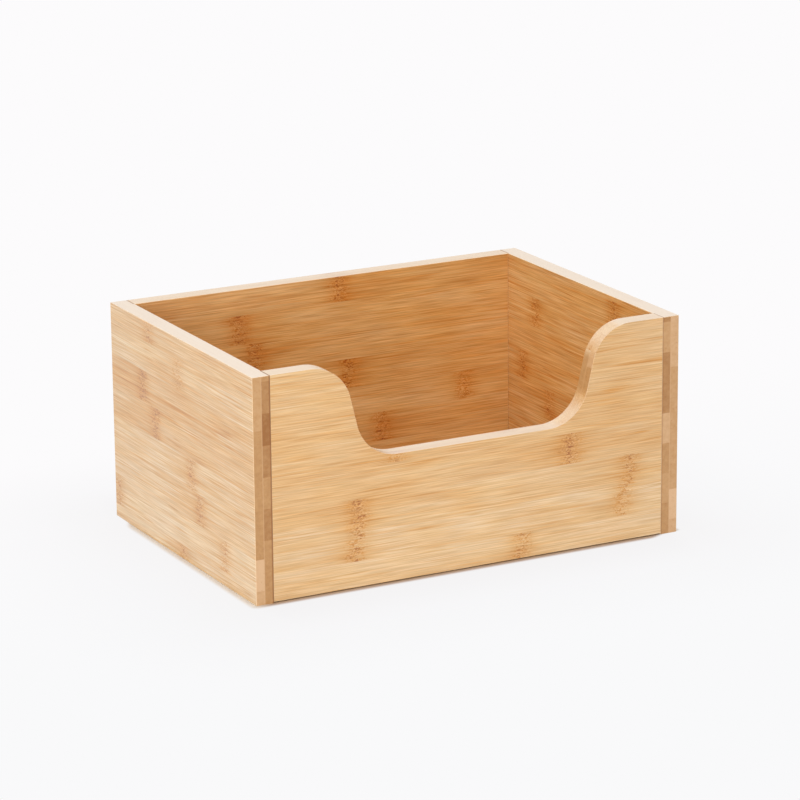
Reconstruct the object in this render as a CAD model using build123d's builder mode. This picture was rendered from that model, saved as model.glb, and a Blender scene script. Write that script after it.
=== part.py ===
"""Open-topped bamboo storage box with a scooped front, glued up from five boards and hidden dowels.

Units are millimetres and +Z is up. The origin lies on the surface that the box stands on, under the
middle of the box. +X is to the right and the scooped front faces -Y. The box stands on its two side
boards: the front and back boards stop short of the surface.
"""

import os
from math import cos, radians, sin

from build123d import *

# Box and boards
BOX_WIDTH = 300.0  # over the outer faces of the two side boards
BOX_DEPTH = 210.0  # the length of a side board
BOX_HEIGHT = 144.0
BOARD_THICKNESS = 12.0  # two glued plies of flat bamboo strips
EDGE_RADIUS = 0.4  # sanded roundover on every edge of a board
END_BOARD_LIFT = 1.0  # from the surface to the lower edge of the front and back boards

# Scoop in the front board, from the middle of its floor outwards
SCOOP_FLOOR_WIDTH = 107.0  # straight part of the floor
SCOOP_OFFSET = 1.6  # from the middle of the board to the middle of the scoop, to the right
SCOOP_LOWER_RADIUS = 28.5  # hollow curve from the floor into the flank
SCOOP_FLANK_LEAN = 13.5  # degrees off upright
SCOOP_FLANK_LENGTH = 18.7
SCOOP_UPPER_RADIUS = 28.0  # round shoulder from the flank to the top edge

# Base panel, held in a groove in all four boards
BASE_THICKNESS = 5.0
BASE_RISE = 6.0  # from the surface to the underside of the base
BASE_CHAMFER = 0.4
GROOVE_DEPTH = 4.0
GROOVE_HEADROOM = 0.2  # over the base, which rests on the groove's lower wall
GROOVE_END_GAP = 0.3  # from the base's rim to the bottom of the groove

# Corner dowels, from the inner face of a side board into the end of the front or back board
DOWELS_PER_CORNER = 3
DOWEL_DIAMETER = 6.0
DOWEL_LENGTH = 24.0
DOWEL_IN_SIDE_BOARD = 7.0
DOWEL_MARGIN = 26.0  # from the side board's upper and lower edges to the axis of the nearest dowel
DOWEL_CHAMFER = 0.7
DOWEL_HOLE_CLEARANCE = 0.05  # on the radius
DOWEL_HOLE_SPARE = 0.5  # glue room past each end of a dowel
FLUTES_PER_DOWEL = 12
FLUTE_RADIUS = 0.4
FLUTE_DEPTH = 0.25

# Sizes that follow from those above
INNER_WIDTH = BOX_WIDTH - 2 * BOARD_THICKNESS
INNER_DEPTH = BOX_DEPTH - 2 * BOARD_THICKNESS
GROOVE_HEIGHT = BASE_THICKNESS + GROOVE_HEADROOM
GROOVE_LENGTH = INNER_DEPTH + 2 * GROOVE_DEPTH
BASE_OVERHANG = GROOVE_DEPTH - GROOVE_END_GAP  # how far the base reaches into each groove
DOWEL_HOLE_RADIUS = DOWEL_DIAMETER / 2 + DOWEL_HOLE_CLEARANCE
DOWEL_PITCH = (BOX_HEIGHT - 2 * DOWEL_MARGIN) / (DOWELS_PER_CORNER - 1)
DOWEL_HEIGHTS = [DOWEL_MARGIN + row * DOWEL_PITCH for row in range(DOWELS_PER_CORNER)]
DOWEL_LINE = (BOX_DEPTH - BOARD_THICKNESS) / 2  # the middle of an end board's thickness, in Y

SIDES = {"left": -1, "right": 1}  # the direction of each along X
ENDS = {"front": -1, "back": 1}  # the direction of each along Y

os.makedirs("parts", exist_ok=True)


def save(piece: BuildPart, name: str) -> None:
    """Label a finished piece and write it as a STEP file of its own."""
    piece.part.label = name
    export_step(piece.part, f"parts/{name}.step")


def upright_plane(x: float, y: float, facing_x: int, facing_y: int) -> Plane:
    """Give a plane through a point on the surface, facing sideways, with its own Y axis pointing up."""
    return Plane(origin=(x, y, 0), x_dir=(-facing_y, facing_x, 0), z_dir=(facing_x, facing_y, 0))


def board_outline(width: float, lift: float) -> None:
    """Draw a board's rectangle in the current sketch, from its lift to the top of the box."""
    with Locations((0, (lift + BOX_HEIGHT) / 2)):
        Rectangle(width, BOX_HEIGHT - lift)


def scooped_outline(width: float, lift: float) -> None:
    """Draw the front board's outline in the current sketch, with the scoop in its top edge."""
    turn = 90 - SCOOP_FLANK_LEAN
    curve_rise = (SCOOP_LOWER_RADIUS + SCOOP_UPPER_RADIUS) * (1 - cos(radians(turn)))
    scoop_depth = curve_rise + SCOOP_FLANK_LENGTH * sin(radians(turn))
    floor = BOX_HEIGHT - scoop_depth
    with BuildLine() as outline:
        bottom = Line((SCOOP_OFFSET, floor), (SCOOP_OFFSET + SCOOP_FLOOR_WIDTH / 2, floor))
        hollow = JernArc(bottom @ 1, bottom % 1, SCOOP_LOWER_RADIUS, turn)
        flank = Line(hollow @ 1, hollow @ 1 + SCOOP_FLANK_LENGTH * (hollow % 1))
        shoulder = JernArc(flank @ 1, flank % 1, SCOOP_UPPER_RADIUS, -turn)
        mirror(about=Plane.YZ.offset(SCOOP_OFFSET))
        right_shoulder = shoulder @ 1
        left_shoulder = (2 * SCOOP_OFFSET - right_shoulder.X, BOX_HEIGHT)
        right_corners = [(width / 2, BOX_HEIGHT), (width / 2, lift)]
        left_corners = [(-width / 2, lift), (-width / 2, BOX_HEIGHT)]
        Polyline(right_shoulder, *right_corners, *left_corners, left_shoulder)
    make_face(outline.edges())


# Side boards, over the full depth of the box, with stopped grooves that don't show at their ends
for side, sign in SIDES.items():
    inner_face = upright_plane(sign * INNER_WIDTH / 2, 0, sign, 0)
    with BuildPart() as side_board:
        with BuildSketch(inner_face):
            board_outline(BOX_DEPTH, 0)
        extrude(amount=BOARD_THICKNESS)
        fillet(side_board.edges(), EDGE_RADIUS)
        with BuildSketch(inner_face):
            with Locations((0, BASE_RISE + GROOVE_HEIGHT / 2)):
                Rectangle(GROOVE_LENGTH, GROOVE_HEIGHT)
        extrude(amount=GROOVE_DEPTH, mode=Mode.SUBTRACT)
        with BuildSketch(inner_face):
            with Locations([(line, height) for line in (-DOWEL_LINE, DOWEL_LINE) for height in DOWEL_HEIGHTS]):
                Circle(DOWEL_HOLE_RADIUS)
        extrude(amount=DOWEL_IN_SIDE_BOARD + DOWEL_HOLE_SPARE, mode=Mode.SUBTRACT)
    save(side_board, f"{side}_side_board")

# Front and back boards, between the side boards, with grooves that run out at both ends
for end, sign in ENDS.items():
    inner_face = upright_plane(0, sign * INNER_DEPTH / 2, 0, sign)
    with BuildPart() as end_board:
        with BuildSketch(inner_face):
            if end == "front":
                scooped_outline(INNER_WIDTH, END_BOARD_LIFT)
            else:
                board_outline(INNER_WIDTH, END_BOARD_LIFT)
        extrude(amount=BOARD_THICKNESS)
        fillet(end_board.edges(), EDGE_RADIUS)
        with BuildSketch(inner_face):
            with Locations((0, BASE_RISE + GROOVE_HEIGHT / 2)):
                Rectangle(INNER_WIDTH, GROOVE_HEIGHT)
        extrude(amount=GROOVE_DEPTH, mode=Mode.SUBTRACT)
        for side_sign in SIDES.values():
            board_end = upright_plane(side_sign * INNER_WIDTH / 2, sign * DOWEL_LINE, side_sign, 0)
            with BuildSketch(board_end):
                with Locations([(0, height) for height in DOWEL_HEIGHTS]):
                    Circle(DOWEL_HOLE_RADIUS)
            hole_depth = DOWEL_LENGTH - DOWEL_IN_SIDE_BOARD + DOWEL_HOLE_SPARE
            extrude(amount=-hole_depth, mode=Mode.SUBTRACT)
    save(end_board, f"{end}_board")

# Base panel, slid into the grooves before the last board goes on
with BuildPart() as base_panel:
    with BuildSketch(Plane.XY.offset(BASE_RISE)):
        Rectangle(INNER_WIDTH + 2 * BASE_OVERHANG, INNER_DEPTH + 2 * BASE_OVERHANG)
    extrude(amount=BASE_THICKNESS)
    chamfer(base_panel.edges().filter_by(Axis.Z, reverse=True), BASE_CHAMFER)
save(base_panel, "base_panel")

# Dowels, three to a corner, numbered from the bottom up
for end, end_sign in ENDS.items():
    for side, side_sign in SIDES.items():
        for number, height in enumerate(DOWEL_HEIGHTS, start=1):
            dowel_end = INNER_WIDTH / 2 + DOWEL_IN_SIDE_BOARD
            end_face = upright_plane(side_sign * dowel_end, end_sign * DOWEL_LINE, side_sign, 0)
            with BuildPart() as dowel:
                with BuildSketch(end_face):
                    with Locations((0, height)):
                        Circle(DOWEL_DIAMETER / 2)
                extrude(amount=-DOWEL_LENGTH)
                chamfer(dowel.edges().filter_by(GeomType.CIRCLE), DOWEL_CHAMFER)
                with BuildSketch(end_face):
                    with Locations((0, height)):
                        with PolarLocations(DOWEL_DIAMETER / 2 + FLUTE_RADIUS - FLUTE_DEPTH, FLUTES_PER_DOWEL):
                            Circle(FLUTE_RADIUS)
                extrude(amount=-DOWEL_LENGTH, mode=Mode.SUBTRACT)
            save(dowel, f"{end}_{side}_dowel_{number}")
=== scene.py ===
"""Looks of an open bamboo storage box with a scooped front.

Each board is glued up from two plies of flat bamboo strips. The boards are built here as solids with
sanded edges, base grooves and dowel holes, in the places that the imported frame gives. Their finish is a
solid pattern: the same fibres run through faces, edges and end grain.
"""

import logging
from collections.abc import Mapping, Sequence
from dataclasses import dataclass, field
from enum import Enum
from math import cos, radians, sin, tan

import bpy
from mathutils import Matrix, Vector

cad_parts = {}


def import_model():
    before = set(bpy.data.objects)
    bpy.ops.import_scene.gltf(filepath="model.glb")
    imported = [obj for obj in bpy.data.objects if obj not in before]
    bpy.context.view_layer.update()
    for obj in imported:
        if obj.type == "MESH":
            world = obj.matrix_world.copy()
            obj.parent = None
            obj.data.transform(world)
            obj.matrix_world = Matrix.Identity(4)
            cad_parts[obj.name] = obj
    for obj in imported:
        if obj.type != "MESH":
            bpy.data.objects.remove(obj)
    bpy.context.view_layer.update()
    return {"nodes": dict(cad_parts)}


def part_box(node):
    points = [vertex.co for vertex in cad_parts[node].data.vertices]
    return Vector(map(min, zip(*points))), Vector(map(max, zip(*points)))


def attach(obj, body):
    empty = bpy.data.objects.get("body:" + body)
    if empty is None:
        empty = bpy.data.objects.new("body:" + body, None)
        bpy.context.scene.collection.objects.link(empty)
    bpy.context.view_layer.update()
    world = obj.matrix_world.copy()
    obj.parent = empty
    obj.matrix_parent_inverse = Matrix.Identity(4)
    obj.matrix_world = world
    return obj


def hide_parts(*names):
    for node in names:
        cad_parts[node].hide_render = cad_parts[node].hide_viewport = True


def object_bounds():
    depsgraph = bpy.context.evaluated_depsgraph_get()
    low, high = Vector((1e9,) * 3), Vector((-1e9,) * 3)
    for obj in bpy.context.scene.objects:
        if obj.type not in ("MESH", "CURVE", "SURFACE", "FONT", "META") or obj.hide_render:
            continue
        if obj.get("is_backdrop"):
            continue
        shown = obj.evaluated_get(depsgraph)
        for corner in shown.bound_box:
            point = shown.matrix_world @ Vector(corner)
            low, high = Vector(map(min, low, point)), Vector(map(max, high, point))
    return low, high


MM = 0.001
UP = Vector((0, 0, 1))
SHARP = radians(35)  # a fold sharper than this is an edge, which is sanded and shaded as one

FLOAT = "NodeSocketFloat"
WHOLE = "NodeSocketInt"
COLOUR = "NodeSocketColor"
VECTOR = "NodeSocketVector"
GEOMETRY = "NodeSocketGeometry"

log = logging.getLogger("storage_box")

Colour = tuple[float, ...]
Span = tuple[float, float]
Socket = bpy.types.NodeSocket
Value = Socket | float | Colour
Place = tuple[Value, Value, Value]
Inputs = Mapping[str | int, Value]
Outputs = Mapping[str, Socket]


def srgb(red: int, green: int, blue: int) -> Colour:
    """Turn a display colour into the linear one that a shader takes.

    Args:
        red: Display red, from 0 to 255.
        green: Display green, from 0 to 255.
        blue: Display blue, from 0 to 255.

    Returns:
        Linear red, green, blue and an alpha of 1.
    """
    linear = []
    for channel in (red, green, blue):
        share = channel / 255
        linear.append(share / 12.92 if share <= 0.04045 else ((share + 0.055) / 1.055) ** 2.4)
    return (*linear, 1.0)


@dataclass(frozen=True)
class Streaks:
    """A noise drawn out along the grain, with the length and width of its streaks in mm."""

    length: float
    width: float
    detail: float = 1.0
    roughness: float = 0.5
    distortion: float = 0.0


class Graph:
    """Adds nodes to a node tree and joins them, for shaders and geometry alike."""

    def __init__(self, tree: bpy.types.NodeTree) -> None:
        """Work on one tree."""
        self.tree = tree

    def add(self, kind: str, inputs: Inputs | None = None, **settings: object) -> bpy.types.Node:
        """Add a node, set its options and feed its inputs.

        Args:
            kind: The node's type name.
            inputs: Values or sockets by input name, identifier or index.
            **settings: Attributes of the node, such as operation.

        Returns:
            The new node.
        """
        node = self.tree.nodes.new(kind)
        for name, setting in settings.items():
            setattr(node, name, setting)
        for key, value in (inputs or {}).items():
            self.feed(self.input_of(node, key), value)
        return node

    @staticmethod
    def input_of(node: bpy.types.Node, key: str | int) -> Socket:
        """Find an input by index, identifier or name."""
        by_identifier = [socket for socket in node.inputs if socket.identifier == key]
        return by_identifier[0] if by_identifier else node.inputs[key]

    def feed(self, target: Socket, value: Value) -> None:
        """Link a socket to an input, or set the input's own value.

        Args:
            target: The input.
            value: The socket or the plain value.
        """
        if isinstance(value, Socket):
            self.tree.links.new(value, target)
        else:
            target.default_value = value

    def math(self, operation: str, *values: Value, clamp: bool = False) -> Socket:
        """Add a Math node and return its result."""
        node = self.add("ShaderNodeMath", dict(enumerate(values)), operation=operation, use_clamp=clamp)
        return node.outputs[0]

    def plus(self, first: Value, second: Value) -> Socket:
        """Add two numbers."""
        return self.math("ADD", first, second)

    def minus(self, first: Value, second: Value) -> Socket:
        """Take the second number from the first."""
        return self.math("SUBTRACT", first, second)

    def times(self, first: Value, second: Value, *others: Value) -> Socket:
        """Multiply numbers, from the first one on.

        Args:
            first: The first number.
            second: The second number.
            *others: Any more of them.

        Returns:
            The product.
        """
        product = self.math("MULTIPLY", first, second)
        for other in others:
            product = self.math("MULTIPLY", product, other)
        return product

    def over(self, first: Value, second: Value) -> Socket:
        """Divide the first number by the second."""
        return self.math("DIVIDE", first, second)

    def weighed(self, value: Value, weight: Value, base: Value) -> Socket:
        """Multiply a number by its weight and add it to a base."""
        return self.math("MULTIPLY_ADD", value, weight, base)

    def unsigned(self, value: Value) -> Socket:
        """Drop a number's sign."""
        return self.math("ABSOLUTE", value)

    def lerp(self, share: Value, low: Value, high: Value) -> Socket:
        """Mix two numbers by a share from 0 to 1."""
        inputs = {"Factor_Float": share, "A_Float": low, "B_Float": high}
        return self.add("ShaderNodeMix", inputs, data_type="FLOAT").outputs["Result"]

    def tint(self, share: Value, low: Value, high: Value, blend: str = "MIX") -> Socket:
        """Mix two colours.

        Args:
            share: How much of the second colour there is, from 0 to 1.
            low: The first colour.
            high: The second colour.
            blend: How they are mixed.

        Returns:
            The mixed colour.
        """
        inputs = {"Factor_Float": share, "A_Color": low, "B_Color": high}
        node = self.add("ShaderNodeMix", inputs, data_type="RGBA", blend_type=blend)
        return [socket for socket in node.outputs if socket.identifier == "Result_Color"][0]

    def glaze(self, under: Value, glazing: Value) -> Socket:
        """Multiply a colour by another one."""
        return self.tint(1.0, under, glazing, blend="MULTIPLY")

    def ramp(self, share: Value, stops: Sequence[tuple[float, Colour]], step: bool = False) -> Outputs:
        """Turn a number into a colour.

        Args:
            share: The number, from 0 to 1.
            stops: Each colour after its place from 0 to 1, in order.
            step: Hold each colour up to the next one instead of blending.

        Returns:
            The colour and its alpha.
        """
        node = self.add("ShaderNodeValToRGB", {"Fac": share})
        node.color_ramp.interpolation = "CONSTANT" if step else "LINEAR"
        elements = node.color_ramp.elements
        elements[0].position, elements[0].color = stops[0]
        elements.remove(elements[1])
        for place, colour in stops[1:]:
            elements.new(place).color = colour
        return node.outputs

    def remap(
        self, value: Value, low: float, high: float, to_low: float = 0.0, to_high: float = 1.0
    ) -> Socket:
        """Map a range smoothly onto another, held at both ends."""
        inputs = {"Value": value, "From Min": low, "From Max": high, "To Min": to_low, "To Max": to_high}
        return self.add("ShaderNodeMapRange", inputs, interpolation_type="SMOOTHSTEP").outputs["Result"]

    def vector(self, x: Value, y: Value, z: Value) -> Socket:
        """Combine three numbers into a vector."""
        return self.add("ShaderNodeCombineXYZ", {0: x, 1: y, 2: z}).outputs[0]

    def parts(self, vector: Value) -> tuple[Socket, ...]:
        """Split a vector into its three numbers."""
        return tuple(self.add("ShaderNodeSeparateXYZ", {0: vector}).outputs)

    def channels(self, colour: Value) -> tuple[Socket, ...]:
        """Split a colour into its three channels."""
        return tuple(self.add("ShaderNodeSeparateColor", {0: colour}).outputs)

    def stretched(self, place: Place, length: float, width: float) -> Socket:
        """Scale a place so that a pattern of unit size becomes long along the grain and narrow across it."""
        along, across, through = place
        return self.vector(self.over(along, length), self.over(across, width), self.over(through, width))

    def streaks(self, place: Place, kind: Streaks) -> Socket:
        """Give a drawn-out noise, centred on 0.

        Args:
            place: Where to look it up: along the grain, across it and through the board, in mm.
            kind: Its size and character.

        Returns:
            The noise.
        """
        inputs = {
            "Vector": self.stretched(place, kind.length, kind.width),
            "Scale": 1.0,
            "Detail": kind.detail,
            "Roughness": kind.roughness,
            "Distortion": kind.distortion,
        }
        node = self.add("ShaderNodeTexNoise", inputs, noise_dimensions="3D")
        return self.minus(node.outputs["Fac"], 0.5)

    def relief(self, height: Value, strength: float, depth: float) -> Socket:
        """Turn a height into a bumpy normal."""
        inputs = {"Strength": strength, "Distance": depth, "Height": height}
        return self.add("ShaderNodeBump", inputs).outputs["Normal"]

    def surface(self, values: Inputs) -> None:
        """Feed the material's own Principled BSDF."""
        for name, value in values.items():
            self.feed(self.tree.nodes["Principled BSDF"].inputs[name], value)


class GroupGraph(Graph):
    """A node group under construction, with named inputs and outputs."""

    def __init__(self, name: str, kind: str, inputs: Mapping[str, str], outputs: Mapping[str, str]) -> None:
        """Make the group and its sockets.

        Args:
            name: The group's name.
            kind: ShaderNodeTree or GeometryNodeTree.
            inputs: Socket types by input name.
            outputs: Socket types by output name.
        """
        super().__init__(bpy.data.node_groups.new(name, kind))
        for in_out, sockets in (("INPUT", inputs), ("OUTPUT", outputs)):
            for socket, socket_type in sockets.items():
                self.tree.interface.new_socket(name=socket, in_out=in_out, socket_type=socket_type)
        self.given = self.tree.nodes.new("NodeGroupInput").outputs
        self.result = self.tree.nodes.new("NodeGroupOutput").inputs

    def give(self, results: Mapping[str, Value]) -> None:
        """Feed the group's outputs by name."""
        for name, value in results.items():
            self.feed(self.result[name], value)

    def used_in(self, graph: Graph, inputs: Inputs) -> Outputs:
        """Place a shader group in another graph and give its outputs there."""
        return graph.add("ShaderNodeGroup", inputs, node_tree=self.tree).outputs

    def identifier(self, name: str) -> str:
        """Give the identifier of one of the group's inputs."""
        items = self.tree.interface.items_tree
        return [item.identifier for item in items if item.name == name and item.in_out == "INPUT"][0]


class Tone(Enum):
    """How light a strip is, from 0 for the darkest bamboo to 1 for the palest."""

    DARK = 0.0
    BROWN = 0.25
    MEDIUM = 0.43
    HONEY = 0.58
    GOLDEN = 0.78
    PALE = 1.0

    @classmethod
    def of(cls, letter: str) -> "Tone":
        """Find the tone whose name starts with a letter."""
        return next(tone for tone in cls if tone.name.startswith(letter))


OFF = 400.0  # a place past a board, for a knuckle that is not there
KNUCKLE_SPAN = 1000.0  # a knuckle's place is kept as a share of this length, from its middle


@dataclass(frozen=True)
class Ply:
    """A layer of bamboo strips laid edge to edge, from the lowest up, in mm.

    The first seam is where the lowest strip starts, which may be below the board. Each strip has a letter
    for its end's tone and one for its face's. Its knuckles are the place of a bold one along the board, or
    of a bold and a faint one, or None.
    """

    first_seam: float
    ends: str
    faces: str
    knuckles: tuple[float | Span | None, ...]
    pitch: float = 20.0

    def rows(self) -> list[tuple[float, Colour]]:
        """List what a Color Ramp keeps of each strip.

        Returns:
            The strip's start as a share of the ply, and a colour that holds its face's tone, the places of
            its bold and its faint knuckle, and its end's tone.
        """
        rows = []
        for end, face, place in zip(self.ends, self.faces, self.knuckles):
            pair = place if isinstance(place, tuple) else (OFF if place is None else place, OFF)
            bold, faint = (0.5 + knuckle / KNUCKLE_SPAN for knuckle in pair)
            rows.append((len(rows) / len(self.ends), (Tone.of(face).value, bold, faint, Tone.of(end).value)))
        return rows


@dataclass(frozen=True)
class Laminate:
    """Two plies glued face to face.

    Crispness is how strongly the finest fibres show, and edge paleness and highlight how far the cut edges
    are paler than the faces:
    partly the edge grain's own paler colour, partly a painted highlight of the light from above.
    """

    outer: Ply
    inner: Ply
    crispness: float = 1.0
    edge_paleness_and_highlight: float = 0.5


@dataclass(frozen=True)
class BambooColours:
    """Colours of lacquered natural bamboo. The last five multiply the wood's own colour."""

    bark: Colour = srgb(172, 103, 42)
    brown: Colour = srgb(211, 149, 72)
    tan: Colour = srgb(225, 184, 133)
    cream: Colour = srgb(240, 215, 182)
    end_dark: Colour = srgb(153, 98, 40)
    end_middle: Colour = srgb(191, 144, 91)
    end_pale: Colour = srgb(217, 176, 133)
    # Partly the paler colour of cut edge grain, partly a painted highlight of the light from above on the
    # top edges.
    cut_edge_and_highlight: Colour = srgb(237, 224, 210)
    # Painted shade in the crease where the end boards meet the side boards.
    crease_shade: Colour = srgb(143, 88, 34)
    deep: Colour = srgb(255, 251, 236)
    chalky: Colour = srgb(253, 254, 255)
    pore: Colour = (0.80, 0.76, 0.67, 1.0)
    sheen: Colour = (1.09, 1.12, 1.17, 1.0)
    # Painted shade: deepens and warms the inner faces, standing in for the shade and warm bounced light
    # inside the box.
    inner_shade_tint: Colour = (1.05, 1.01, 0.89, 1.0)


class StripLayout(GroupGraph):
    """Numbers the strips of a ply and marks the seams between them."""

    SEAM = (0.05, 0.35)  # how far from a seam its mark starts to fade and how far it ends, in mm

    def __init__(self) -> None:
        """Build the group."""
        inputs = dict.fromkeys(("Across", "First Seam", "Pitch", "Strips"), FLOAT)
        outputs = dict.fromkeys(("Index", "Share", "Seam"), FLOAT)
        super().__init__("strip_layout", "ShaderNodeTree", inputs, outputs)
        pitch = self.given["Pitch"]
        place = self.over(self.minus(self.given["Across"], self.given["First Seam"]), pitch)
        index = self.math("FLOOR", place)
        off_centre = self.unsigned(self.minus(self.math("FRACT", place), 0.5))
        to_seam = self.times(self.minus(0.5, off_centre), pitch)
        share = self.over(self.plus(index, 0.5), self.given["Strips"])
        self.give({"Index": index, "Share": share, "Seam": self.remap(to_seam, *self.SEAM, 1.0, 0.0)})


class SolidBamboo(GroupGraph):
    """The fibres, bundles and knuckles of one strip, as a solid pattern in millimetres."""

    # From one strip's fibres to the next one's, and from a strip's fibres to its hues.
    STRIP_ALONG = 137.0
    STRIP_THROUGH = 31.0
    HUE_THROUGH = 300.0

    DRIFT = Streaks(220.0, 22.0)
    BROAD = Streaks(170.0, 9.0)
    FIBRE = Streaks(80.0, 2.2, detail=1.5)
    FINE = Streaks(55.0, 0.75)
    RIDGE = Streaks(110.0, 1.3, detail=0.0)
    PATCH = Streaks(40.0, 15.0)
    MOTTLE = Streaks(20.0, 3.2, detail=3.0, roughness=0.6)
    PORES = Streaks(22.0, 0.48, detail=2.0)
    TINT = Streaks(40.0, 7.0, detail=1.5)
    WARMTH = Streaks(46.0, 13.0)
    CRINKLE = Streaks(3.2, 1.3, detail=2.0, distortion=1.1)
    WANDER = Streaks(1.0, 5.0, detail=2.0)

    BUNDLE_LENGTH = 55.0
    BUNDLE_WIDTH = 2.3
    BUNDLE = (0.36, 0.08)  # from its rim to its solid core, in widths
    LINE = 0.055  # how far from 0 the ridge noise may be in a thin line
    SQUIGGLE = (0.02, 0.10, 0.30)  # where a knuckle's thin lines start to fade, where they end, how pale

    # How far a knuckle's parts reach along the grain, in mm.
    CORE = 5.8
    STAIN = 7.0
    HALO_BACK = 17.0
    HALO_AHEAD = 7.0
    KNUCKLE_WANDER = 12.0
    FAINTNESS = 0.85  # how bold a strip's second knuckle is

    # How far fibres are bent sideways, in mm.
    BENT_BY_DRIFT = 2.5
    BENT_BY_KNUCKLE = 3.0

    # What each pattern adds to a strip's lightness.
    LIGHTENING = {
        "broad": 0.25,
        "fibre": 0.17,
        "fine": 0.42,
        "lines": -0.14,
        "threads": -0.20,
        "patch": 0.23,
        "halo": -0.21,
        "stain": -0.30,
        "speckle": 1.3,
    }

    # How strong the crinkle is in a speckle, and the tint in the hue.
    CRINKLE_IN_SPECKLE = 0.6
    TINT_IN_HUE = 0.6

    # What fibres, fine fibres and speckles add to the height.
    FIBRE_HEIGHT = 0.5
    FINE_HEIGHT = 0.6
    SPECKLE_HEIGHT = 1.5

    DARKEST = 0.62  # the lightness of the darkest tone
    TONE_RANGE = 0.30  # from the darkest tone to the palest one
    HUE_RANGE = 0.42  # how far from 0 its noise turns the wood wholly yellower or greyer
    PORE_RANGE = 0.3  # how far from 0 theirs makes it wholly a pore or wholly sheen
    ROUGHNESS = 0.40
    FIBRE_ROUGHNESS = -0.35  # what a pale fibre adds to it

    def __init__(self, colours: BambooColours) -> None:
        """Build the group.

        Args:
            colours: The bamboo's colours.
        """
        names = ("Along", "Across", "Through", "Strip", "Tone", "Knuckle A", "Knuckle B", "Crispness")
        outputs = {"Color": COLOUR} | dict.fromkeys(("Height", "Roughness", "Bundles", "Mottle"), FLOAT)
        super().__init__("solid_bamboo", "ShaderNodeTree", dict.fromkeys(names, FLOAT), outputs)
        along, across, through = (self.given[name] for name in names[:3])
        strip = self.given["Strip"]
        crispness = self.given["Crispness"]
        along_own = self.plus(along, self.times(strip, self.STRIP_ALONG))
        through_own = self.plus(through, self.times(strip, self.STRIP_THROUGH))
        straight = (along_own, across, through_own)

        distance, boldness = self.nearest_knuckle(along, across, through_own)
        core = self.times(self.bell(distance, self.CORE), boldness)
        stain = self.times(self.bell(distance, self.STAIN), boldness)
        crinkle = self.streaks(straight, self.CRINKLE)
        squiggle = self.remap(self.unsigned(crinkle), *self.SQUIGGLE, 0.0)
        speckle = self.times(core, self.weighed(crinkle, self.CRINKLE_IN_SPECKLE, squiggle))

        drift = self.times(self.streaks(straight, self.DRIFT), self.BENT_BY_DRIFT)
        swirl = self.times(crinkle, core, self.BENT_BY_KNUCKLE)
        bent = self.plus(across, self.plus(drift, swirl))
        fibres = (along_own, bent, through_own)
        fibre = self.streaks(fibres, self.FIBRE)
        fine = self.streaks(fibres, self.FINE)
        ridge = self.unsigned(self.streaks(fibres, self.RIDGE))
        lines = self.remap(ridge, 0.0, self.LINE, 1.0, 0.0)
        threads = self.threads(fibres)

        light = self.weighed(self.given["Tone"], self.TONE_RANGE, self.DARKEST)
        patterns = {
            "broad": self.streaks(fibres, self.BROAD),
            "fibre": fibre,
            "fine": self.times(fine, crispness),
            "lines": self.times(lines, crispness),
            "threads": threads,
            "patch": self.streaks(straight, self.PATCH),
            "halo": self.halo(distance, boldness),
            "stain": stain,
            "speckle": speckle,
        }
        for name, weight in self.LIGHTENING.items():
            light = self.weighed(patterns[name], weight, light)
        shades = (colours.bark, colours.brown, colours.tan, colours.cream)
        wood = self.ramp(light, tuple(zip((0.0, 1 / 3, 2 / 3, 1.0), shades)))["Color"]
        wood = self.glaze(wood, self.hue(straight, bent, colours))
        grain = self.remap(self.streaks(straight, self.PORES), -self.PORE_RANGE, self.PORE_RANGE)
        wood = self.glaze(wood, self.tint(grain, colours.pore, colours.sheen))
        height = self.weighed(fine, self.FINE_HEIGHT, self.times(fibre, self.FIBRE_HEIGHT))
        results = {
            "Color": wood,
            "Height": self.weighed(speckle, self.SPECKLE_HEIGHT, height),
            "Roughness": self.weighed(fibre, self.FIBRE_ROUGHNESS, self.ROUGHNESS),
            "Bundles": threads,
            "Mottle": self.streaks(straight, self.MOTTLE),
        }
        self.give(results)

    def bell(self, distance: Value, reach: float) -> Socket:
        """Give 1 at no distance, falling like a bell over a reach."""
        scaled = self.over(distance, reach)
        return self.math("EXPONENT", self.times(scaled, scaled, -1.0))

    def nearest_knuckle(self, along: Value, across: Value, through: Value) -> tuple[Socket, Socket]:
        """Find the nearest of a strip's two knuckles, which wander a little along the grain.

        Args:
            along: Place along the board.
            across: Place across it.
            through: Place through it, shifted by the strip's number.

        Returns:
            The signed distance along the grain from that knuckle, and how bold it is.
        """
        wander = self.times(self.streaks((0.0, across, through), self.WANDER), self.KNUCKLE_WANDER)
        to_a = self.minus(self.minus(along, self.given["Knuckle A"]), wander)
        to_b = self.minus(self.minus(along, self.given["Knuckle B"]), wander)
        a_nearer = self.math("LESS_THAN", self.unsigned(to_a), self.unsigned(to_b))
        return self.lerp(a_nearer, to_b, to_a), self.lerp(a_nearer, self.FAINTNESS, 1.0)

    def halo(self, distance: Value, boldness: Value) -> Socket:
        """Darken the wood softly on both sides of a knuckle.

        Args:
            distance: Signed distance from the knuckle, in mm.
            boldness: How bold the knuckle is.

        Returns:
            The darkening, from 0 to the knuckle's boldness.
        """
        back = self.math("EXPONENT", self.over(self.math("MINIMUM", distance, 0.0), self.HALO_BACK))
        ahead = self.math("EXPONENT", self.over(self.math("MAXIMUM", distance, 0.0), -self.HALO_AHEAD))
        return self.times(back, ahead, boldness)

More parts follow.
